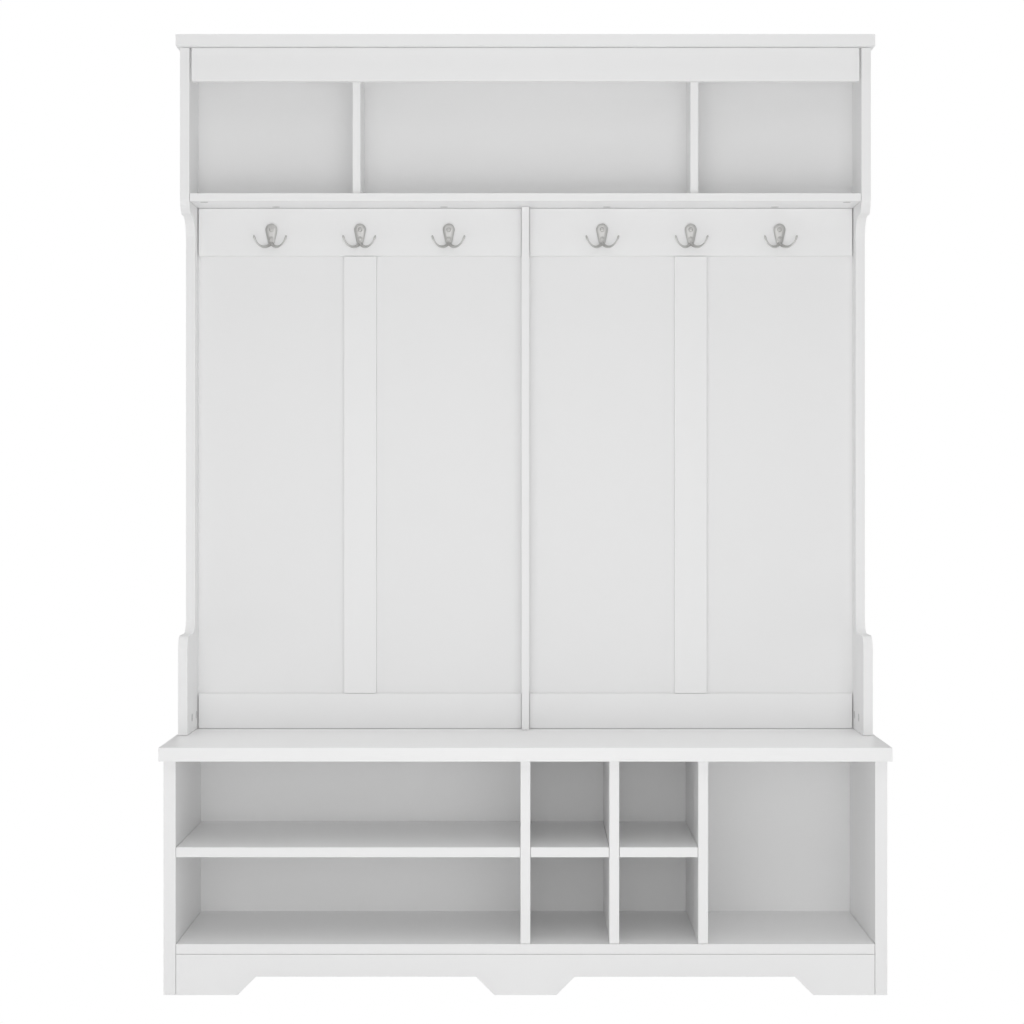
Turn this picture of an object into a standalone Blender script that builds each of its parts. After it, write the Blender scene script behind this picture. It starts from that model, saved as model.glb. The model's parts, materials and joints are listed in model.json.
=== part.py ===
"""Hall tree: a shoe bench, a panelled back with coat hooks, and an open box under the crown.

Metres, +Z up. The front faces -Y and the origin is on the floor, in the middle of the footprint.
Every board, hook, screw and cam is its own object.
"""
import math

import bmesh
import bpy
from mathutils import Matrix, Vector

# Overall size
WIDTH = 1.300
DEPTH = 0.400
HEIGHT = 1.745
FRONT_Y = -DEPTH / 2
REAR_Y = DEPTH / 2
GAP = 0.0003  # clearance between two pieces that touch

# Board thicknesses
BENCH_T = 0.025
CROWN_T = 0.022
BASE_SIDE_T = 0.022
BOARD_T = 0.018
LIGHT_BOARD_T = 0.015
RAIL_T = 0.012
BACK_T = 0.005
BACK_LAP = 0.009  # how far a back panel laps into the rebate of a side panel
BACK_Y = REAR_Y - BACK_T  # front face of every back panel
BOARD_REAR_Y = BACK_Y - GAP  # rear edge of the boards that a back panel closes

# Base: the bench top on two sides, three dividers, a bottom panel and fixed shelves
BENCH_TOP_Z = 0.442
BENCH_OVERHANG = 0.020
BASE_FRONT_Y = FRONT_Y + BENCH_OVERHANG
BASE_TOP_Z = BENCH_TOP_Z - BENCH_T
BASE_OUTER_X = 0.6435
BASE_INNER_X = BASE_OUTER_X - BASE_SIDE_T
KICK_H = 0.073
FLOOR_PANEL_Z = KICK_H + BOARD_T  # upper face of the bottom panel
SHOE_SPACE = 0.154  # clear height of each shoe space
SHELF_Z = FLOOR_PANEL_Z + SHOE_SPACE  # underside of the middle shelves
CUBBY_PITCH = 0.158
CUT_H = 0.0326  # height of the cut-outs that leave three feet on the kick board
CUT_INNER_X = 0.055
CUT_OUTER_X = 0.5115

# Hutch: the panelled back and the open box on top
QUARTER_X = 0.316  # middle of each half, where the battens and box dividers stand
HUTCH_OUTER_X = 0.6445
HUTCH_INNER_X = HUTCH_OUTER_X - BOARD_T
CROWN_Z = HEIGHT - CROWN_T
CROWN_OVERHANG = 0.020
BOX_FRONT_Y = 0.057
WAIST_FRONT_Y = 0.1463  # front of the side panels' narrow part and of the centre upright
ARM_FRONT_Y = 0.028
ARM_TOP_Z = 0.627
ARM_CORNER_R = 0.028
ARM_FILLET_R = 0.031
STEP_Z = 1.4133  # where the side panels step forward to the box
STEP_CORNER_R = 0.030
STEP_FILLET_R = 0.040
TOP_SHELF_Z = 1.4365  # underside of the top shelf
VALANCE_H = 0.063
VALANCE_SETBACK = 0.001
VALANCE_END_X = 0.6228
RAIL_FACE_Y = BACK_Y - RAIL_T
RAIL_END_X = HUTCH_INNER_X - 0.0016  # the rails stop short of the side panels
HOOK_RAIL_Z = 1.345
LOWER_RAIL_TOP_Z = 0.509
BATTEN_W = 0.062

# Hooks: a keyhole plate with two prongs, held by two countersunk screws
HOOK_PITCH = 0.1695
HOOK_Z = 1.3952  # middle of the plate's round head
PLATE_T = 0.004
PLATE_HEAD_R = 0.0114
PLATE_FOOT_R = 0.0070
PLATE_CENTRES = 0.0219  # from the middle of the head down to the middle of the foot
SCREW_DROPS = (0.0, 0.0178)  # each screw's depth below the middle of the head
SCREW_HEAD_R = 0.0035
SCREW_SHANK_R = 0.00175
SCREW_HEAD_T = 0.0018
SCREW_SHANK_END = 0.008
SCREW_TIP = 0.010
PRONG_POINTS = (  # the right prong's middle line (right, forward, up) and its radius there
    (0.0010, 0.0025, -0.0262, 0.0026),
    (0.0040, 0.0075, -0.0308, 0.0026),
    (0.0085, 0.0130, -0.0334, 0.0025),
    (0.0140, 0.0190, -0.0342, 0.0024),
    (0.0195, 0.0240, -0.0322, 0.0022),
    (0.0245, 0.0270, -0.0275, 0.0019),
    (0.0283, 0.0282, -0.0208, 0.0020),
    (0.0306, 0.0285, -0.0155, 0.0027),
    (0.0312, 0.0285, -0.0133, 0.0022),
    (0.0315, 0.0285, -0.0122, 0.0010),
)

# Cams: turned locks that pull the boards together
CAM_R = 0.0075
CAM_T = 0.012
CAM_CHAMFER = 0.0006
CAM_INSET = 0.0245  # from a cam in the top shelf to the side panel that it grips
ARM_CAM_Z = 0.470
ARM_CAM_YS = (0.100, 0.165)
SHELF_CAM_PLACES = (
    (HUTCH_INNER_X - CAM_INSET, 0.080),
    (0.475, 0.165),
    (0.155, 0.165),
)

ARC_STEPS = 10
ROUND_SIDES = 24
SCREW_SIDES = 12
FINISHES = {  # colour, roughness, metallic
    "white_board": ((0.86, 0.86, 0.86), 0.45, 0.0),
    "white_back": ((0.84, 0.84, 0.84), 0.55, 0.0),
    "satin_nickel": ((0.62, 0.62, 0.60), 0.35, 1.0),
    "zinc": ((0.58, 0.58, 0.58), 0.45, 1.0),
}


def clear_scene():
    for obj in list(bpy.data.objects):
        bpy.data.objects.remove(obj)


def make_material(name):
    """One object's own material, in one of the finishes above."""
    colour, roughness, metallic = FINISHES[name]
    material = bpy.data.materials.new(name)
    material.use_nodes = True
    shader = material.node_tree.nodes["Principled BSDF"]
    shader.inputs["Base Color"].default_value = (*colour, 1.0)
    shader.inputs["Roughness"].default_value = roughness
    shader.inputs["Metallic"].default_value = metallic
    return material


def make_empty(name):
    empty = bpy.data.objects.new(name, None)
    bpy.context.scene.collection.objects.link(empty)
    return empty


def place(name, mesh, location, finish=None, parent=None):
    obj = bpy.data.objects.new(name, mesh)
    obj.location = location
    obj.parent = parent
    bpy.context.scene.collection.objects.link(obj)
    if finish:
        if not mesh.materials:
            mesh.materials.append(None)
        obj.material_slots[0].link = "OBJECT"
        obj.material_slots[0].material = make_material(finish)
    return obj


def mesh_from(bm, name, smooth=False):
    bmesh.ops.recalc_face_normals(bm, faces=bm.faces)
    mesh = bpy.data.meshes.new(name)
    bm.to_mesh(mesh)
    bm.free()
    if smooth:
        mesh.shade_smooth()
        mesh.set_sharp_from_angle(angle=math.radians(35))
    return mesh


def add_box(bm, x, y, z):
    """Adds a box between the two x, the two y and the two z values."""
    size = Vector((x[1] - x[0], y[1] - y[0], z[1] - z[0]))
    middle = Vector((x[0] + x[1], y[0] + y[1], z[0] + z[1])) / 2
    bmesh.ops.create_cube(bm, size=1.0, matrix=Matrix.Translation(middle) @ Matrix.Diagonal(size).to_4x4())


def board(name, x, y, z, parent, finish="white_board"):
    """A plain rectangular board between two x, two y and two z values."""
    middle = Vector((x[0] + x[1], y[0] + y[1], z[0] + z[1])) / 2
    bm = bmesh.new()
    add_box(bm, *[(-(pair[1] - pair[0]) / 2, (pair[1] - pair[0]) / 2) for pair in (x, y, z)])
    return place(name, mesh_from(bm, name), middle, finish, parent)


def extruded(name, outline, direction):
    """A closed solid: the flat outline, a list of points, pushed along direction."""
    bm = bmesh.new()
    face = bm.faces.new([bm.verts.new(point) for point in outline])
    pushed = bmesh.ops.extrude_face_region(bm, geom=[face])
    bmesh.ops.translate(
        bm, vec=direction, verts=[item for item in pushed["geom"] if isinstance(item, bmesh.types.BMVert)]
    )
    return bm


def turned(profile, sides, bm=None, turn=Matrix.Identity(4)):
    """A closed solid of revolution about Z from (radius, z) pairs; both ends lie on the axis."""
    bm = bm or bmesh.new()
    rings = []
    for radius, z in profile:
        if radius == 0.0:
            rings.append([bm.verts.new(turn @ Vector((0.0, 0.0, z)))])
            continue
        angles = [2 * math.pi * side / sides for side in range(sides)]
        rings.append(
            [bm.verts.new(turn @ Vector((radius * math.cos(a), radius * math.sin(a), z))) for a in angles]
        )
    for below, above in zip(rings, rings[1:]):
        for side in range(sides):
            following = (side + 1) % sides
            corners = [below[side % len(below)], below[following % len(below)]]
            corners += [above[following % len(above)], above[side % len(above)]]
            bm.faces.new(list(dict.fromkeys(corners)))
    return bm


def arc(centre, radius, start, end):
    """Points of a circular arc, as (across, up) pairs; the angles are in degrees."""
    steps = [start + (end - start) * i / ARC_STEPS for i in range(ARC_STEPS + 1)]
    return [
        (centre[0] + radius * math.cos(math.radians(a)), centre[1] + radius * math.sin(math.radians(a)))
        for a in steps
    ]


def cut(obj, bm):
    """Subtracts the closed shapes in bm, given in world coordinates, from obj."""
    cutter = place("cut_" + obj.name, mesh_from(bm, "cut_" + obj.name), (0.0, 0.0, 0.0))
    cutter.hide_render = True
    cutter.display_type = "WIRE"
    modifier = obj.modifiers.new("cut", "BOOLEAN")
    modifier.operation = "DIFFERENCE"
    modifier.solver = "EXACT"
    modifier.object = cutter


def rebate(bm, side, inner_x, z):
    """Adds the rear rebate of a side panel: the space that the edge of a back panel laps into."""
    overshoot = 0.002
    across = sorted((side * (inner_x - overshoot), side * (inner_x + BACK_LAP)))
    add_box(bm, across, (BOARD_REAR_Y, REAR_Y + overshoot), z)


# ---------------------------------------------------------------- base


def make_base(parent):
    bench_x = (-WIDTH / 2, WIDTH / 2)
    board("bench_top", bench_x, (FRONT_Y, REAR_Y), (BASE_TOP_Z, BENCH_TOP_Z), parent)
    make_base_sides(parent)

    between_sides = (-BASE_INNER_X + GAP, BASE_INNER_X - GAP)
    deep = (BASE_FRONT_Y, BOARD_REAR_Y)
    board("base_bottom_panel", between_sides, deep, (KICK_H, FLOOR_PANEL_Z), parent)

    divider_z = (FLOOR_PANEL_Z + GAP, BASE_TOP_Z - GAP)
    for index in range(3):
        x = index * CUBBY_PITCH
        board(f"base_divider_{index + 1}", (x - BOARD_T / 2, x + BOARD_T / 2), deep, divider_z, parent)

    shelf_z = (SHELF_Z, SHELF_Z + BOARD_T)
    long_x = (-BASE_INNER_X + GAP, -BOARD_T / 2 - GAP)
    board("shoe_shelf_long", long_x, deep, shelf_z, parent)
    for index in range(2):
        x = index * CUBBY_PITCH + BOARD_T / 2 + GAP
        cubby_x = (x, x + CUBBY_PITCH - BOARD_T - 2 * GAP)
        board(f"cubby_shelf_{index + 1}", cubby_x, deep, shelf_z, parent)

    make_front_kick_board(parent)
    rear_kick_y = (BOARD_REAR_Y - BOARD_T, BOARD_REAR_Y)
    board("kick_board_rear", between_sides, rear_kick_y, (0.0, KICK_H - GAP), parent)
    back_x = BASE_INNER_X + BACK_LAP - GAP
    back_z = (KICK_H + GAP, BASE_TOP_Z - GAP)
    board("base_back_panel", (-back_x, back_x), (BACK_Y, REAR_Y), back_z, parent, "white_back")


def make_base_sides(parent):
    for name, side in (("left", -1), ("right", 1)):
        x = sorted((side * BASE_INNER_X, side * BASE_OUTER_X))
        panel = board(f"base_side_{name}", x, (BASE_FRONT_Y, REAR_Y), (0.0, BASE_TOP_Z - GAP), parent)
        bm = bmesh.new()
        rebate(bm, side, BASE_INNER_X, (KICK_H, BASE_TOP_Z + GAP))
        cut(panel, bm)


def make_front_kick_board(parent):
    """The kick board stands on three feet between two cut-outs with 45 degree ends."""
    end_x = BASE_INNER_X - GAP
    right = [
        (CUT_INNER_X, 0.0),
        (CUT_INNER_X + CUT_H, CUT_H),
        (CUT_OUTER_X - CUT_H, CUT_H),
        (CUT_OUTER_X, 0.0),
        (end_x, 0.0),
        (end_x, KICK_H - GAP),
    ]
    left = [(-x, z) for x, z in reversed(right)]
    outline = [Vector((x, 0.0, z)) for x, z in right + left]
    bm = extruded("kick_board_front", outline, Vector((0.0, BOARD_T, 0.0)))
    mesh = mesh_from(bm, "kick_board_front")
    place("kick_board_front", mesh, (0.0, BASE_FRONT_Y, 0.0), "white_board", parent)


# ---------------------------------------------------------------- hutch


def make_hutch(parent):
    make_hutch_sides(parent)
    upright_x = (-LIGHT_BOARD_T / 2, LIGHT_BOARD_T / 2)
    upright_z = (BENCH_TOP_Z + GAP, TOP_SHELF_Z - GAP)
    board("centre_upright", upright_x, (WAIST_FRONT_Y, BOARD_REAR_Y), upright_z, parent)

    shelf_x = HUTCH_INNER_X - GAP
    shelf_z = (TOP_SHELF_Z, TOP_SHELF_Z + LIGHT_BOARD_T)
    shelf = board("top_shelf", (-shelf_x, shelf_x), (BOX_FRONT_Y, BOARD_REAR_Y), shelf_z, parent)
    bm = bmesh.new()
    for x, y in shelf_cam_places():
        cam_pocket(bm, Matrix.Translation((x, y, TOP_SHELF_Z)))
    cut(shelf, bm)

    make_top_box(parent)
    for name, side in (("left", -1), ("right", 1)):
        make_back_bay(name, side, parent)


def side_outline():
    """The side panel from the side, as (y, z): an arm at the bottom, a waist, and a wide top."""
    arm_fillet = (WAIST_FRONT_Y - ARM_FILLET_R, ARM_TOP_Z + ARM_FILLET_R)
    arm_corner = (ARM_FRONT_Y + ARM_CORNER_R, ARM_TOP_Z - ARM_CORNER_R)
    step_fillet = (WAIST_FRONT_Y - STEP_FILLET_R, STEP_Z - STEP_FILLET_R)
    step_corner = (BOX_FRONT_Y + STEP_CORNER_R, STEP_Z + STEP_CORNER_R)
    outline = [(REAR_Y, BENCH_TOP_Z + GAP), (REAR_Y, CROWN_Z - GAP), (BOX_FRONT_Y, CROWN_Z - GAP)]
    outline += arc(step_corner, STEP_CORNER_R, 180, 270)
    outline += arc(step_fillet, STEP_FILLET_R, 90, 0)
    outline += arc(arm_fillet, ARM_FILLET_R, 0, -90)
    outline += arc(arm_corner, ARM_CORNER_R, 90, 180)
    outline.append((ARM_FRONT_Y, BENCH_TOP_Z + GAP))
    return outline


def make_hutch_sides(parent):
    for name, side in (("left", -1), ("right", 1)):
        outline = [Vector((0.0, y, z)) for y, z in side_outline()]
        bm = extruded(f"hutch_side_{name}", outline, Vector((BOARD_T, 0.0, 0.0)))
        mesh = mesh_from(bm, f"hutch_side_{name}")
        inner_x = min(side * HUTCH_INNER_X, side * HUTCH_OUTER_X)
        panel = place(f"hutch_side_{name}", mesh, (inner_x, 0.0, 0.0), "white_board", parent)
        bm = bmesh.new()
        rebate(bm, side, HUTCH_INNER_X, (BENCH_TOP_Z - GAP, CROWN_Z + GAP))
        for y in ARM_CAM_YS:
            cam_pocket(bm, arm_cam_frame(side, y))
        cut(panel, bm)


def make_top_box(parent):
    shelf_top = TOP_SHELF_Z + LIGHT_BOARD_T
    valance_y = (BOX_FRONT_Y + VALANCE_SETBACK, BOX_FRONT_Y + VALANCE_SETBACK + LIGHT_BOARD_T)
    divider_y = (valance_y[1] + GAP, BOARD_REAR_Y)
    for name, side in (("left", -1), ("right", 1)):
        x = (side * QUARTER_X - LIGHT_BOARD_T / 2, side * QUARTER_X + LIGHT_BOARD_T / 2)
        board(f"box_divider_{name}", x, divider_y, (shelf_top + GAP, CROWN_Z - GAP), parent)
    valance_z = (CROWN_Z - VALANCE_H, CROWN_Z - GAP)
    board("valance", (-VALANCE_END_X, VALANCE_END_X), valance_y, valance_z, parent)
    crown_y = (BOX_FRONT_Y - CROWN_OVERHANG, REAR_Y)
    board("crown", (-WIDTH / 2, WIDTH / 2), crown_y, (CROWN_Z, HEIGHT), parent)
    back_x = HUTCH_INNER_X + BACK_LAP - GAP
    back_z = (back_joint_z() + GAP, CROWN_Z - GAP)
    board("box_back_panel", (-back_x, back_x), (BACK_Y, REAR_Y), back_z, parent, "white_back")


def back_joint_z():
    """The height where the back panels meet, behind the middle of the top shelf's edge."""
    return TOP_SHELF_Z + LIGHT_BOARD_T / 2


def make_back_bay(name, side, parent):
    """One half of the panelled back: two rails, a batten between them, and the thin panel behind."""
    rail_y = (RAIL_FACE_Y, BOARD_REAR_Y)
    rail_x = sorted((side * (LIGHT_BOARD_T / 2 + GAP), side * RAIL_END_X))
    lower_z = (BENCH_TOP_Z + GAP, LOWER_RAIL_TOP_Z)
    board(f"lower_rail_{name}", rail_x, rail_y, lower_z, parent)
    batten_x = (side * QUARTER_X - BATTEN_W / 2, side * QUARTER_X + BATTEN_W / 2)
    batten_z = (LOWER_RAIL_TOP_Z + GAP, HOOK_RAIL_Z - GAP)
    board(f"batten_{name}", batten_x, rail_y, batten_z, parent)
    rail = board(f"hook_rail_{name}", rail_x, rail_y, (HOOK_RAIL_Z, TOP_SHELF_Z - GAP), parent)
    bm = bmesh.new()
    for x in hook_xs(side):
        for drop in SCREW_DROPS:
            frame = Matrix.Translation((x, RAIL_FACE_Y, HOOK_Z - drop))
            turned(screw_profile(GAP), SCREW_SIDES, bm, frame @ facing_rear())
    cut(rail, bm)
    panel_x = sorted((side * GAP / 2, side * (HUTCH_INNER_X + BACK_LAP - GAP)))
    panel_z = (BENCH_TOP_Z + GAP, back_joint_z())
    board(f"back_panel_{name}", panel_x, (BACK_Y, REAR_Y), panel_z, parent, "white_back")


# ---------------------------------------------------------------- hooks and their screws


def hook_xs(side):
    return [side * QUARTER_X + step * HOOK_PITCH for step in (-1, 0, 1)]


def facing_rear():
    """Turns a shape made along +Z so that it points along +Y."""
    return Matrix.Rotation(math.radians(-90), 4, "X")


def screw_profile(clearance=0.0):
    """(radius, depth) of a countersunk screw; with a clearance, of the hole that takes it."""
    head_r = SCREW_HEAD_R + clearance
    shank_r = SCREW_SHANK_R + clearance
    face = -PLATE_T
    if clearance:
        mouth = [(0.0, face - SCREW_HEAD_T), (head_r, face - SCREW_HEAD_T), (head_r, face)]
        floor = SCREW_TIP + clearance
        return mouth + [(shank_r, face + SCREW_HEAD_T), (shank_r, floor), (0.0, floor)]
    head = [(0.0, face), (head_r, face), (shank_r, face + SCREW_HEAD_T)]
    return head + [(shank_r, SCREW_SHANK_END), (0.0, SCREW_TIP)]


def plate_outline():
    """Two circles and their common tangents, as (x, z); the head is in the middle of the frame."""
    lean = math.degrees(math.asin((PLATE_HEAD_R - PLATE_FOOT_R) / PLATE_CENTRES))
    head = arc((0.0, 0.0), PLATE_HEAD_R, -lean, 90) + arc((0.0, 0.0), PLATE_HEAD_R, 90, 180 + lean)[1:]
    middle = (0.0, -PLATE_CENTRES)
    foot = arc(middle, PLATE_FOOT_R, 180 + lean, 270) + arc(middle, PLATE_FOOT_R, 270, 360 - lean)[1:]
    return head + foot


def prong_mesh(side):
    """One prong, swept along its middle line and thinner before its tip."""
    curve = bpy.data.curves.new("prong", "CURVE")
    curve.dimensions = "3D"
    curve.bevel_depth = 1.0
    curve.bevel_resolution = 2
    curve.use_fill_caps = True
    spline = curve.splines.new("POLY")
    spline.points.add(len(PRONG_POINTS) - 1)
    for point, (x, forward, z, radius) in zip(spline.points, PRONG_POINTS):
        point.co = (side * x, -forward, z, 1.0)
        point.radius = radius
    shape = place("prong", curve, (0.0, 0.0, 0.0))
    mesh = evaluated_mesh(shape)
    bpy.data.objects.remove(shape)
    return mesh


def evaluated_mesh(obj):
    """A new mesh of obj as its modifiers leave it."""
    bpy.context.view_layer.update()
    return bpy.data.meshes.new_from_object(obj.evaluated_get(bpy.context.evaluated_depsgraph_get()))


def hook_mesh():
    """The plate, the two prongs joined to it, and its countersunk holes, on the y = 0 plane."""
    outline = [Vector((x, -GAP, z)) for x, z in plate_outline()]
    plate_bm = extruded("hook", outline, Vector((0.0, GAP - PLATE_T, 0.0)))
    plate = place("hook_plate", mesh_from(plate_bm, "hook_plate"), (0.0, 0.0, 0.0))
    holes = bmesh.new()
    for drop in SCREW_DROPS:
        frame = Matrix.Translation((0.0, 0.0, -drop)) @ facing_rear()
        turned(screw_profile(GAP), SCREW_SIDES, holes, frame)
    tools = [place("prong_tool", prong_mesh(side), (0.0, 0.0, 0.0)) for side in (-1, 1)]
    tools.append(place("hole_tool", mesh_from(holes, "hole_tool"), (0.0, 0.0, 0.0)))
    for tool, operation in zip(tools, ("UNION", "UNION", "DIFFERENCE")):
        modifier = plate.modifiers.new(tool.name, "BOOLEAN")
        modifier.operation = operation
        modifier.solver = "EXACT"
        modifier.object = tool
    mesh = evaluated_mesh(plate)
    for obj in tools + [plate]:
        bpy.data.objects.remove(obj)
    mesh.shade_smooth()
    mesh.set_sharp_from_angle(angle=math.radians(35))
    return mesh


def make_hooks(parent):
    hook_shape = hook_mesh()
    screw_bm = turned(screw_profile(), SCREW_SIDES, turn=facing_rear())
    screw_shape = mesh_from(screw_bm, "hook_screw", smooth=True)
    for index, x in enumerate(hook_xs(-1) + hook_xs(1)):
        hook = place(f"hook_{index + 1}", hook_shape, (x, RAIL_FACE_Y, HOOK_Z), "satin_nickel", parent)
        for end, drop in zip(("upper", "lower"), SCREW_DROPS):
            place(f"hook_{index + 1}_screw_{end}", screw_shape, (0.0, 0.0, -drop), "satin_nickel", hook)


# ---------------------------------------------------------------- cams


def shelf_cam_places():
    return [(side * x, y) for side in (-1, 1) for x, y in SHELF_CAM_PLACES]


def arm_cam_frame(side, y):
    """On a side panel's inner face, with +Z pointing into the panel."""
    turn = Matrix.Rotation(side * math.radians(90), 4, "Y")
    return Matrix.Translation((side * HUTCH_INNER_X, y, ARM_CAM_Z)) @ turn


def cam_pocket(bm, frame):
    overshoot = 0.002
    radius = CAM_R + GAP
    profile = [(0.0, -overshoot), (radius, -overshoot), (radius, CAM_T + GAP), (0.0, CAM_T + GAP)]
    turned(profile, ROUND_SIDES, bm, frame)


def make_cams(parent):
    profile = [(0.0, 0.0), (CAM_R - CAM_CHAMFER, 0.0), (CAM_R, CAM_CHAMFER), (CAM_R, CAM_T), (0.0, CAM_T)]
    shape = mesh_from(turned(profile, ROUND_SIDES), "cam", smooth=True)
    for index, (x, y) in enumerate(shelf_cam_places()):
        place(f"shelf_cam_{index + 1}", shape, (x, y, TOP_SHELF_Z), "zinc", parent)
    for name, side in (("left", -1), ("right", 1)):
        for end, y in zip(("front", "rear"), ARM_CAM_YS):
            middle = (side * HUTCH_INNER_X, y, ARM_CAM_Z)
            cam = place(f"arm_cam_{name}_{end}", shape, middle, "zinc", parent)
            cam.rotation_euler = (0.0, side * math.radians(90), 0.0)


def main():
    clear_scene()
    base = make_empty("base")
    hutch = make_empty("hutch")
    make_base(base)
    make_hutch(hutch)
    make_hooks(hutch)
    make_cams(hutch)


main()
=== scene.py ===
import json
import math

import bmesh
import bpy
from mathutils import Matrix, Vector


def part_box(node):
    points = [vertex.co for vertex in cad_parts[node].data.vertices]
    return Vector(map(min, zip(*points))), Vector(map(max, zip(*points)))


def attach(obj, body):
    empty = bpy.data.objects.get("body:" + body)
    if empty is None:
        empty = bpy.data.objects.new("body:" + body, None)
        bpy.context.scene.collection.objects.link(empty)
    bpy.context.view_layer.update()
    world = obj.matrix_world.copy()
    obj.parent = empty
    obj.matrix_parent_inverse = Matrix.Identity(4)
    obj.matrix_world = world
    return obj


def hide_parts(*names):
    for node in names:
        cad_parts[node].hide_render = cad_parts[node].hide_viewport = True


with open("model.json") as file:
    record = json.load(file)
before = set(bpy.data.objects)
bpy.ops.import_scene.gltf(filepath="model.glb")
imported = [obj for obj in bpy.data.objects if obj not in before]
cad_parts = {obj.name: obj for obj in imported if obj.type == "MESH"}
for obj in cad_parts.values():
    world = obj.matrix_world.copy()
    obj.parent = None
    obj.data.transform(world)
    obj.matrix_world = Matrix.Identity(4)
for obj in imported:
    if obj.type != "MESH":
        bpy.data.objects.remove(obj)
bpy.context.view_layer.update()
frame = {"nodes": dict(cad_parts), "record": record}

# ---------------------------------------------------------------- stage settings
CAMERA_DISTANCE = 5.0
CAMERA_HEIGHT = 0.9015
LENS = 95.34
SENSOR = 36.0
SHIFT_X = -0.01309
SHIFT_Y = -0.0234
FLOOR_SIZE = 60.0
FLOOR_GLOW = 0.01
WORLD_ABOVE = 1.27
WORLD_SIDES = 0.475
BOARD_WHITE = 0.88
LIGHT_BOUNCES = 14  # white boards pass light on many times inside the cubbies
SOFTBOX_EYE = 26.0
SOFTBOX_LOW = 8.0
SOFTBOX_HIGH = 12.0

# ---------------------------------------------------------------- small helpers


def new_material(name):
    material = bpy.data.materials.new(name)
    material.use_nodes = True
    tree = material.node_tree
    return material, tree, tree.nodes["Principled BSDF"]


def node(tree, kind, inputs=None, **settings):
    made = tree.nodes.new(kind)
    for key, value in settings.items():
        setattr(made, key, value)
    for key, value in (inputs or {}).items():
        if isinstance(value, bpy.types.NodeSocket):
            tree.links.new(value, made.inputs[key])
        else:
            made.inputs[key].default_value = value
    return made


# ---------------------------------------------------------------- materials
PEEL_DEPTH = 0.00002


def vary_finish(tree, noise, dark, light, roughness):
    """Lets a noise move the base colour from dark to light and the roughness over its (low, high) range."""
    shader = tree.nodes["Principled BSDF"]
    colour = node(tree, "ShaderNodeMix", {"Factor": noise.outputs["Fac"]}, data_type="RGBA")
    colour.inputs["A"].default_value = (*dark, 1.0)
    colour.inputs["B"].default_value = (*light, 1.0)
    tree.links.new(colour.outputs["Result"], shader.inputs["Base Color"])
    low, high = roughness
    rough = node(tree, "ShaderNodeMapRange", {"Value": noise.outputs["Fac"], "To Min": low, "To Max": high})
    tree.links.new(rough.outputs["Result"], shader.inputs["Roughness"])


def coated_board(name, white, roughness):
    """Painted fibreboard: faint mottling in tone and gloss, and a fine orange peel."""
    material, tree, shader = new_material(name)
    place = node(tree, "ShaderNodeTexCoord").outputs["Object"]
    mottle = node(tree, "ShaderNodeTexNoise", {"Vector": place, "Scale": 7.0, "Detail": 3.0})
    peel = node(tree, "ShaderNodeTexNoise", {"Vector": place, "Scale": 750.0, "Detail": 1.5})
    vary_finish(tree, mottle, (white * 0.995,) * 3, (white,) * 3, (roughness - 0.05, roughness + 0.05))
    bump = node(tree, "ShaderNodeBump", {"Height": peel.outputs["Fac"], "Distance": PEEL_DEPTH})
    bump.inputs["Strength"].default_value = 1.0
    tree.links.new(bump.outputs["Normal"], shader.inputs["Normal"])
    return material


def plated_metal(name, tint, roughness):
    """Plated metal with a fine grain."""
    material, tree, shader = new_material(name)
    place = node(tree, "ShaderNodeTexCoord").outputs["Object"]
    grain = node(tree, "ShaderNodeTexNoise", {"Vector": place, "Scale": 900.0, "Detail": 2.0})
    shader.inputs["Metallic"].default_value = 1.0
    darker = [c * 0.95 for c in tint]
    vary_finish(tree, grain, darker, tint, (roughness - 0.04, roughness + 0.04))
    return material


BOARD = coated_board("white_board", BOARD_WHITE, 0.42)
BACK = coated_board("white_back", BOARD_WHITE - 0.01, 0.50)
NICKEL = plated_metal("satin_nickel", (0.61, 0.606, 0.594), 0.46)
ZINC = plated_metal("zinc", (0.66, 0.66, 0.66), 0.5)
SLOT_MATERIALS = {"white_board": BOARD, "white_back": BACK, "satin_nickel": NICKEL, "zinc": ZINC}

# ---------------------------------------------------------------- boards
BOARD_EASE = 0.0005
BACK_EASE = 0.0003
JOINT_PLAY = 0.0004  # how far each corner of a board moves in, along its diagonal


def ease_edges(obj, width, play=0.0):
    """Joins the imported faces at their edges, leaves a hair of play at each joint, rounds sharp edges."""
    weld = obj.modifiers.new("weld", "WELD")
    weld.merge_threshold = 0.00001
    if play:
        shrink = obj.modifiers.new("play", "DISPLACE")
        shrink.mid_level = 0.0
        shrink.strength = -play
    bevel = obj.modifiers.new("ease", "BEVEL")
    bevel.width = width
    bevel.segments = 2
    bevel.limit_method = "ANGLE"
    bevel.angle_limit = math.radians(40)


SLOT_OF = {row["node"]: row["material_slot"] for row in frame["record"]["subparts"]}


def finish_cad_nodes():
    for name, obj in frame["nodes"].items():
        slot = SLOT_OF[name]
        obj.data.materials.clear()
        obj.data.materials.append(SLOT_MATERIALS[slot])
        if slot == "white_board":
            ease_edges(obj, BOARD_EASE, JOINT_PLAY)
        if slot == "white_back":
            ease_edges(obj, BACK_EASE)


finish_cad_nodes()

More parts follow.
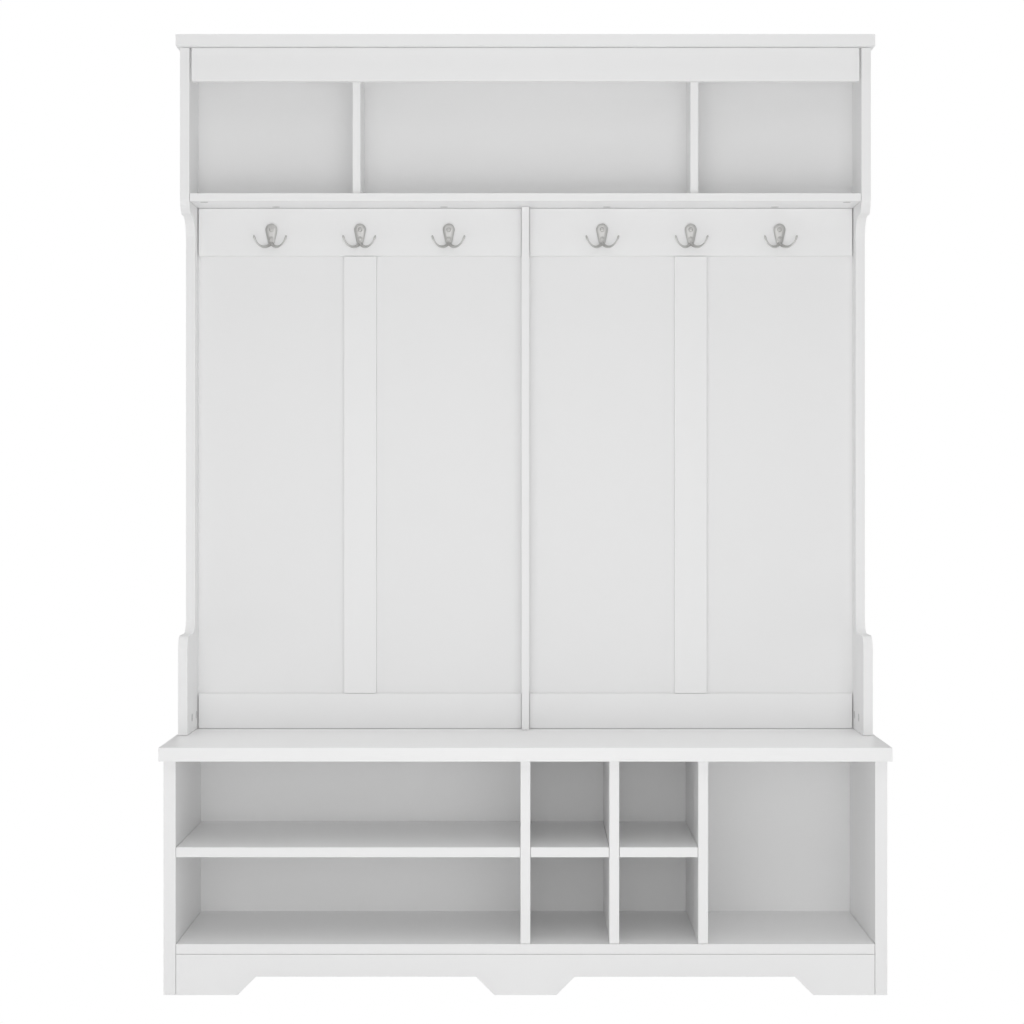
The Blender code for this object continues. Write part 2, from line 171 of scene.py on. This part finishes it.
# ---------------------------------------------------------------- hooks
PLATE_T = 0.004
PLATE_HEAD_R = 0.0114
PLATE_FOOT_R = 0.0070
PLATE_CENTRES = 0.0219  # from the middle of the head down to the middle of the foot
PLATE_CROWN = 0.0011  # how far the plate's face swells forward at its middle
SCREW_DROPS = (0.0, 0.0178)
SCREW_HEAD_R = 0.0035
SCREW_HEAD_T = 0.0018
SCREW_SUNK = 0.0004  # how far the screw's head lies behind the plate's face
HOOK_VOXEL = 0.00038
FACING_FRONT = Matrix.Rotation(math.radians(90), 4, "X")  # turns +Z to the front, which is -Y
PRONG_PATH = (  # the right prong's middle line (right, forward, up) and its radius there
    (0.0004, 0.0010, -0.0235, 0.0030),
    (0.0018, 0.0036, -0.0278, 0.0032),
    (0.0052, 0.0090, -0.0316, 0.0031),
    (0.0100, 0.0148, -0.0338, 0.0028),
    (0.0150, 0.0200, -0.0340, 0.0024),
    (0.0200, 0.0244, -0.0318, 0.0019),
    (0.0244, 0.0270, -0.0278, 0.0016),
    (0.0274, 0.0281, -0.0228, 0.0017),
    (0.0292, 0.0285, -0.0188, 0.0022),
    (0.0301, 0.0286, -0.0162, 0.0022),
    (0.0306, 0.0286, -0.0144, 0.0016),
)


def smooth_path(points, steps):
    """Points on a Catmull-Rom curve through the given ones, with their radius as the last value."""
    padded = [points[0], *points, points[-1]]
    path = []
    for a, b, c, d in zip(padded, padded[1:], padded[2:], padded[3:]):
        for step in range(steps):
            t = step / steps
            point = []
            for p, q, r, s in zip(a, b, c, d):
                square, cube = 2 * p - 5 * q + 4 * r - s, 3 * q - p - 3 * r + s
                point.append(0.5 * (2 * q + (r - p) * t + square * t**2 + cube * t**3))
            path.append(point)
    path.append(list(points[-1]))
    return path


def add_prong(bm, side):
    """A chain of overlapping balls along the prong's path, which the remesh joins."""
    for x, forward, z, radius in smooth_path(PRONG_PATH, 10):
        ball = Matrix.Translation((side * x, -forward, z))
        bmesh.ops.create_icosphere(bm, subdivisions=2, radius=radius, matrix=ball)


def plate_ring(shrink, y):
    """Points around the keyhole plate, its outline moved inward by shrink."""
    sides = 96
    head, foot = PLATE_HEAD_R - shrink, PLATE_FOOT_R - shrink
    lean = math.asin((PLATE_HEAD_R - PLATE_FOOT_R) / PLATE_CENTRES)
    ring = []
    for index in range(sides):
        share = index / sides
        if share < 0.5:
            angle = -lean + (math.pi + 2 * lean) * share / 0.5
            ring.append((head * math.cos(angle), y, head * math.sin(angle)))
        else:
            angle = math.pi + lean + (math.pi - 2 * lean) * (share - 0.5) / 0.5
            ring.append((foot * math.cos(angle), y, -PLATE_CENTRES + foot * math.sin(angle)))
    return ring


def add_plate(bm):
    """The plate: a flat back, upright sides, a rounded rim and a slightly crowned face."""
    rim = 0.0012
    flat = 0.0006  # half the width of the flat strip down the middle of the face
    rings = [plate_ring(0.0, 0.0), plate_ring(0.0, -(PLATE_T - PLATE_CROWN - rim))]
    for step in range(1, 5):
        angle = math.radians(90 * step / 4)
        shrink, rise = rim * (1 - math.cos(angle)), rim * math.sin(angle)
        rings.append(plate_ring(shrink, -(PLATE_T - PLATE_CROWN - rim + rise)))
    for step in range(1, 5):
        share = step / 4
        shrink = rim + (PLATE_FOOT_R - rim - flat) * share
        rings.append(plate_ring(shrink, -(PLATE_T - PLATE_CROWN * (1 - share) ** 2)))
    rows = [[bm.verts.new(point) for point in ring] for ring in rings]
    for lower, upper in zip(rows, rows[1:]):
        count = len(lower)
        for i in range(count):
            bm.faces.new((lower[i], lower[(i + 1) % count], upper[(i + 1) % count], upper[i]))
    bm.faces.new(list(reversed(rows[0])))
    bm.faces.new(rows[-1])


def add_cone(bm, place, r1, r2, depth):
    sizes = {"radius1": r1, "radius2": r2, "depth": depth}
    bmesh.ops.create_cone(bm, cap_ends=True, segments=40, matrix=place, **sizes)


def object_from(bm, name):
    bmesh.ops.recalc_face_normals(bm, faces=bm.faces)
    mesh = bpy.data.meshes.new(name)
    bm.to_mesh(mesh)
    bm.free()
    made = bpy.data.objects.new(name, mesh)
    bpy.context.scene.collection.objects.link(made)
    return made


def applied(obj):
    """A new mesh of obj as its modifiers leave it; obj is removed."""
    bpy.context.view_layer.update()
    mesh = bpy.data.meshes.new_from_object(obj.evaluated_get(bpy.context.evaluated_depsgraph_get()))
    bpy.data.objects.remove(obj)
    return mesh


def subtract(obj, tool):
    """Cuts tool out of obj. The tools' bodies overlap one another, which use_self allows for."""
    step = obj.modifiers.new(tool.name, "BOOLEAN")
    step.object = tool
    step.operation = "DIFFERENCE"
    step.solver = "EXACT"
    step.use_self = True


def hook_shape():
    """A cast double hook: plate and prongs grown together, then countersunk for its two screws."""
    bm = bmesh.new()
    add_plate(bm)
    for side in (-1, 1):
        add_prong(bm, side)
    body = object_from(bm, "hook_body")
    remesh = body.modifiers.new("cast", "REMESH")
    remesh.mode = "VOXEL"
    remesh.voxel_size = HOOK_VOXEL
    soften = body.modifiers.new("soften", "SMOOTH")
    soften.factor = 0.5
    soften.iterations = 6
    thin = body.modifiers.new("thin", "DECIMATE")
    thin.ratio = 0.25
    cast = bpy.data.objects.new("hook_cast", applied(body))
    bpy.context.scene.collection.objects.link(cast)
    bm = bmesh.new()
    bore_r, mouth_r = SCREW_HEAD_R - 0.0004, SCREW_HEAD_R + 0.0011
    for drop in SCREW_DROPS:
        mouth = Matrix.Translation((0.0, -PLATE_T + 0.0006, -drop)) @ FACING_FRONT
        add_cone(bm, mouth, bore_r, mouth_r, 0.0016)
        bore = Matrix.Translation((0.0, -PLATE_T / 2, -drop)) @ FACING_FRONT
        add_cone(bm, bore, bore_r, bore_r, 0.006)
    holes = object_from(bm, "hook_holes")
    subtract(cast, holes)
    mesh = applied(cast)
    bpy.data.objects.remove(holes)
    mesh.name = "hook"
    mesh.shade_smooth()
    mesh.set_sharp_from_angle(angle=math.radians(40))
    return mesh


def cross_slot(bm, centre, span, width, depth, spin=0.0):
    """Two crossed bars, tapered to their floor; the cut of a cross-head screwdriver, along +Z."""
    for turn in (0.0, 90.0):
        place = Matrix.Translation(centre) @ Matrix.Rotation(math.radians(turn + spin), 4, "Z")
        bar = bmesh.ops.create_cube(bm, size=1.0, matrix=place @ Matrix.Diagonal((span, width, depth, 1.0)))
        for vert in bar["verts"]:
            local = place.inverted() @ vert.co
            if local.z < 0:
                vert.co = place @ Vector((local.x * 0.45, local.y * 0.7, local.z))


def lathe(bm, profile, sides=48):
    """Turns (radius, height) points around Z; the first and the last lie on the axis."""
    rows = [[bm.verts.new((0.0, 0.0, profile[0][1]))]]
    for radius, height in profile[1:-1]:
        ring = []
        for index in range(sides):
            angle = 2 * math.pi * index / sides
            ring.append(bm.verts.new((radius * math.cos(angle), radius * math.sin(angle), height)))
        rows.append(ring)
    rows.append([bm.verts.new((0.0, 0.0, profile[-1][1]))])
    for lower, upper in zip(rows, rows[1:]):
        for i in range(sides):
            corners = [lower[i % len(lower)], lower[(i + 1) % len(lower)]]
            corners += [upper[(i + 1) % len(upper)], upper[i % len(upper)]]
            bm.faces.new(list(dict.fromkeys(corners)))


def cut_with(body, tool_bm, name):
    """A shaded mesh of body with tool_bm cut out; both are used up."""
    tool = object_from(tool_bm, name + "_tool")
    subtract(body, tool)
    mesh = applied(body)
    bpy.data.objects.remove(tool)
    mesh.name = name
    mesh.shade_smooth()
    mesh.set_sharp_from_angle(angle=math.radians(30))
    return mesh


def screw_shape():
    """A countersunk cross-head screw: head up at z = 0, point down."""
    head, shank = SCREW_HEAD_R - 0.0001, 0.0017
    profile = [(0.0, 0.0001), (head * 0.6, 0.0), (head - 0.0002, -0.0002), (head, -0.0004)]
    profile += [(shank, -SCREW_HEAD_T - 0.0002)]
    for turn in range(8):
        profile += [(shank, -0.0030 - turn * 0.001), (shank - 0.0004, -0.0035 - turn * 0.001)]
    profile += [(shank * 0.8, -0.0112), (0.0, -0.0136)]
    bm = bmesh.new()
    lathe(bm, list(reversed(profile)), 32)
    body = object_from(bm, "screw_body")
    bm = bmesh.new()
    cross_slot(bm, (0.0, 0.0, -0.0002), 0.0040, 0.0009, 0.0020)
    return cut_with(body, bm, "hook_screw")


def cam_shape(radius, depth):
    """A cam lock seen from its open end: a rim, a sunk cross slot and a pointer notch; face at z = 0."""
    profile = [(0.0, -0.0004), (radius * 0.82, -0.0004), (radius * 0.86, 0.0), (radius - 0.0004, 0.0)]
    profile += [(radius, -0.0005), (radius, -depth + 0.0005), (radius - 0.0005, -depth), (0.0, -depth)]
    bm = bmesh.new()
    lathe(bm, list(reversed(profile)))
    body = object_from(bm, "cam_body")
    bm = bmesh.new()
    cross_slot(bm, (0.0, 0.0, -0.0012), radius * 1.15, 0.0014, 0.0040, 45.0)
    notch = Matrix.Translation((0.0, radius * 0.86, 0.0)) @ Matrix.Diagonal((0.0012, 0.0026, 0.0016, 1.0))
    bmesh.ops.create_cube(bm, size=1.0, matrix=notch)
    return cut_with(body, bm, "cam")


def dress(name, mesh, material, matrix, cad_name):
    """Puts a finer piece where the CAD node cad_name is."""
    piece = bpy.data.objects.new(name, mesh)
    if not mesh.materials:
        mesh.materials.append(material)
    bpy.context.scene.collection.objects.link(piece)
    piece.matrix_world = matrix
    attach(piece, "root")
    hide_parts(cad_name)


def make_hooks():
    hook_mesh, screw_mesh = hook_shape(), screw_shape()
    for number in range(1, 7):
        low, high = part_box(f"hook_{number}")
        hook_place = Matrix.Translation(((low[0] + high[0]) / 2, high[1], high[2] - PLATE_HEAD_R))
        dress(f"hook_{number}_cast", hook_mesh, NICKEL, hook_place, f"hook_{number}")
        for end, drop in zip(("upper", "lower"), SCREW_DROPS):
            screw = f"hook_{number}_screw_{end}"
            face = Matrix.Translation((0.0, -PLATE_T + SCREW_SUNK, -drop)) @ FACING_FRONT
            spin = Matrix.Rotation(math.radians(23 * number + 31 * drop * 1000), 4, "Z")
            dress(screw + "_fine", screw_mesh, NICKEL, hook_place @ face @ spin, screw)


def make_cams():
    """Each cam's open end lies in the underside of the top shelf or in the inner face of an arm."""
    cam_names = [name for name in frame["nodes"] if "_cam_" in name]
    low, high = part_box(cam_names[0])
    sizes = sorted(high[axis] - low[axis] for axis in range(3))
    cam_mesh = cam_shape(sizes[2] / 2, sizes[0])
    for name in cam_names:
        low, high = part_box(name)
        middle = [(low[axis] + high[axis]) / 2 for axis in range(3)]
        if name.startswith("shelf"):
            middle[2] = low[2]
            turn = Matrix.Rotation(math.radians(180), 4, "X")
        else:
            side = -1 if middle[0] < 0 else 1
            middle[0] = low[0] if side > 0 else high[0]
            turn = Matrix.Rotation(math.radians(-90 * side), 4, "Y")
        dress(name + "_fine", cam_mesh, ZINC, Matrix.Translation(middle) @ turn, name)


make_hooks()
make_cams()

# ---------------------------------------------------------------- stage
PAGE_WHITE = (1.0, 1.0, 1.0, 1.0)


def show_page(tree, lit, page, output):
    """Shows the camera a plain white page, while the object is lit by the real surface or sky."""
    seen = node(tree, "ShaderNodeLightPath").outputs["Is Camera Ray"]
    pick = node(tree, "ShaderNodeMixShader", {"Fac": seen})
    tree.links.new(lit, pick.inputs[1])
    tree.links.new(page, pick.inputs[2])
    tree.links.new(pick.outputs["Shader"], tree.nodes[output].inputs["Surface"])


def make_floor():
    bpy.ops.mesh.primitive_plane_add(size=FLOOR_SIZE, location=(0.0, 0.0, 0.0))
    floor = bpy.context.object
    floor.name = "floor"
    material, tree, shader = new_material("floor")
    shader.inputs["Base Color"].default_value = (0.9, 0.9, 0.9, 1.0)
    shader.inputs["Roughness"].default_value = 0.9
    shader.inputs["Emission Color"].default_value = PAGE_WHITE
    shader.inputs["Emission Strength"].default_value = FLOOR_GLOW
    page = node(tree, "ShaderNodeEmission", {"Color": PAGE_WHITE, "Strength": 1.0})
    show_page(tree, shader.outputs["BSDF"], page.outputs["Emission"], "Material Output")
    floor.data.materials.append(material)


def make_world():
    world = bpy.data.worlds.new("studio")
    bpy.context.scene.world = world
    world.use_nodes = True
    tree = world.node_tree
    direction = node(tree, "ShaderNodeTexCoord").outputs["Generated"]
    axes = node(tree, "ShaderNodeSeparateXYZ", {"Vector": direction})
    above = node(tree, "ShaderNodeMath", {0: axes.outputs["Z"], 1: 0.0}, operation="MAXIMUM").outputs[0]
    aside = node(tree, "ShaderNodeMath", {0: axes.outputs["X"]}, operation="ABSOLUTE").outputs[0]
    total = 0.0
    for lobe, share in ((above, WORLD_ABOVE), (aside, WORLD_SIDES)):
        square = node(tree, "ShaderNodeMath", {0: lobe, 1: 2.0}, operation="POWER").outputs[0]
        total = node(
            tree, "ShaderNodeMath", {0: square, 1: share, 2: total}, operation="MULTIPLY_ADD"
        ).outputs[0]
    background = tree.nodes["Background"]
    background.inputs["Color"].default_value = PAGE_WHITE
    tree.links.new(total, background.inputs["Strength"])
    page = node(tree, "ShaderNodeBackground", {"Color": PAGE_WHITE, "Strength": 1.0})
    show_page(tree, background.outputs["Background"], page.outputs["Background"], "World Output")


def make_softbox(name, place, aim, size, watts):
    light = bpy.data.lights.new(name, "AREA")
    light.shape = "RECTANGLE"
    light.size, light.size_y = size
    light.energy = watts
    holder = bpy.data.objects.new(name, light)
    holder.location = place
    holder.rotation_euler = (Vector(aim) - Vector(place)).to_track_quat("-Z", "Y").to_euler()
    holder.visible_camera = False
    bpy.context.scene.collection.objects.link(holder)


def make_camera():
    camera = bpy.data.cameras.new("camera")
    camera.lens = LENS
    camera.sensor_width = SENSOR
    camera.shift_x = SHIFT_X
    camera.shift_y = SHIFT_Y
    holder = bpy.data.objects.new("camera", camera)
    holder.location = (0.0, -CAMERA_DISTANCE, CAMERA_HEIGHT)
    holder.rotation_euler = (math.radians(90), 0.0, 0.0)
    bpy.context.scene.collection.objects.link(holder)
    bpy.context.scene.camera = holder


make_floor()
make_world()
make_softbox("softbox_eye", (0.0, -4.5, 0.9), (0.0, 0.0, 0.9), (2.5, 2.0), SOFTBOX_EYE)
make_softbox("softbox_low", (0.0, -2.5, 0.45), (0.0, 0.0, 0.45), (2.4, 0.8), SOFTBOX_LOW)
make_softbox("softbox_high", (0.0, -3.0, 2.6), (0.0, 0.0, 0.8), (2.5, 1.5), SOFTBOX_HIGH)
make_camera()
bpy.context.scene.view_settings.view_transform = "Standard"
bpy.context.scene.cycles.max_bounces = LIGHT_BOUNCES
bpy.context.scene.cycles.diffuse_bounces = LIGHT_BOUNCES
